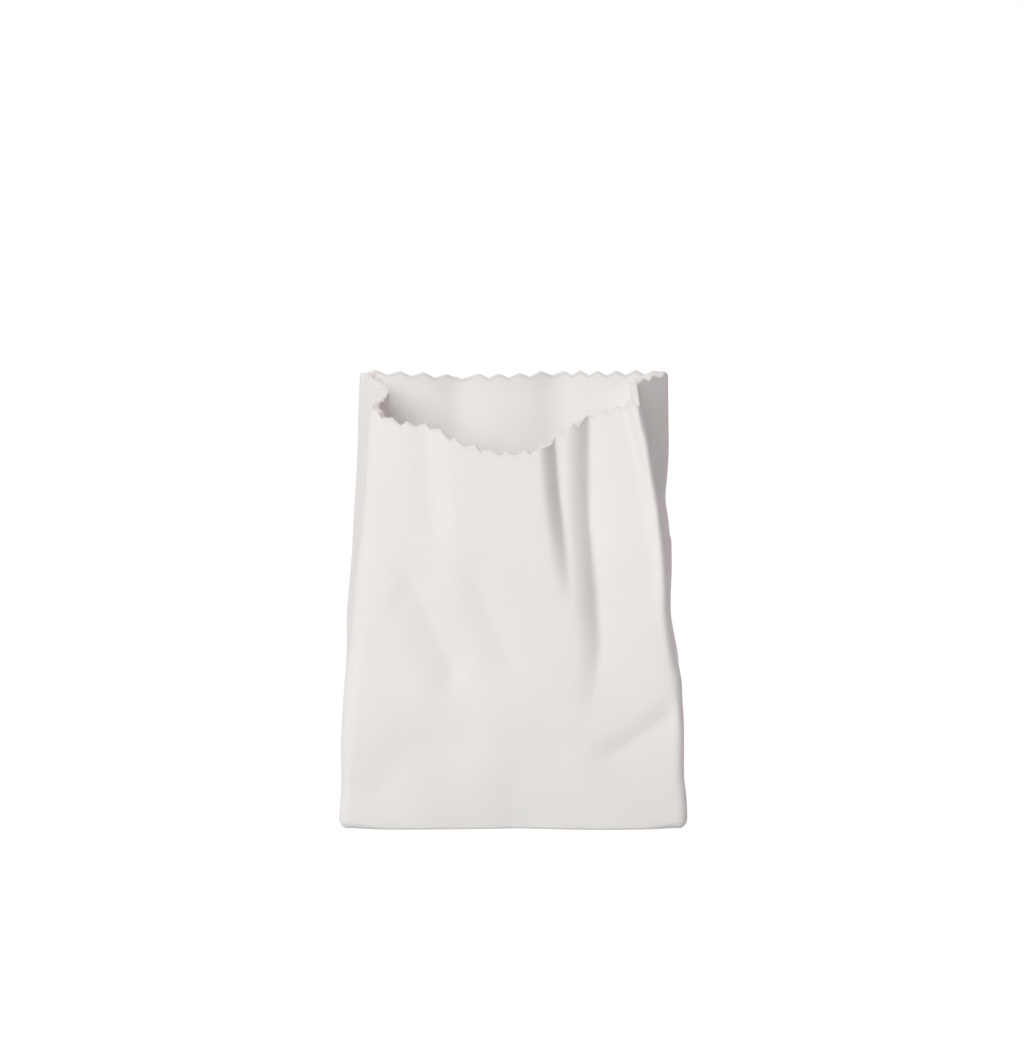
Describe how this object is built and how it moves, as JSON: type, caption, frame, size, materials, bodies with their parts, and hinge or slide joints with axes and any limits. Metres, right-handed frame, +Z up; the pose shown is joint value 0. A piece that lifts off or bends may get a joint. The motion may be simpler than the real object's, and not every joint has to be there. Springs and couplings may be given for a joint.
{
  "type": "paper bag vase",
  "caption": "Small matt white porcelain vase in the form of a folded paper bag, with a pinked rim that dips at the front, pleats in the front and tucked sides.",
  "frame": {"origin": "middle of the foot on the surface that the vase stands on", "axes": "+Z up, -Y towards the pleated front with the dipped lip, +X to the right seen from the front"},
  "size_m": [0.0808, 0.0486, 0.0999],
  "materials": {
    "bisque": "matt unglazed white porcelain",
    "glaze": "thin clear gloss over white"
  },
  "bodies": {
    "root": {"front_panel": "bisque", "right_gusset": "bisque", "back_panel": "bisque", "left_gusset": "bisque", "base_tray": "bisque", "glaze_lining": "glaze"}
  },
  "joints": []
}
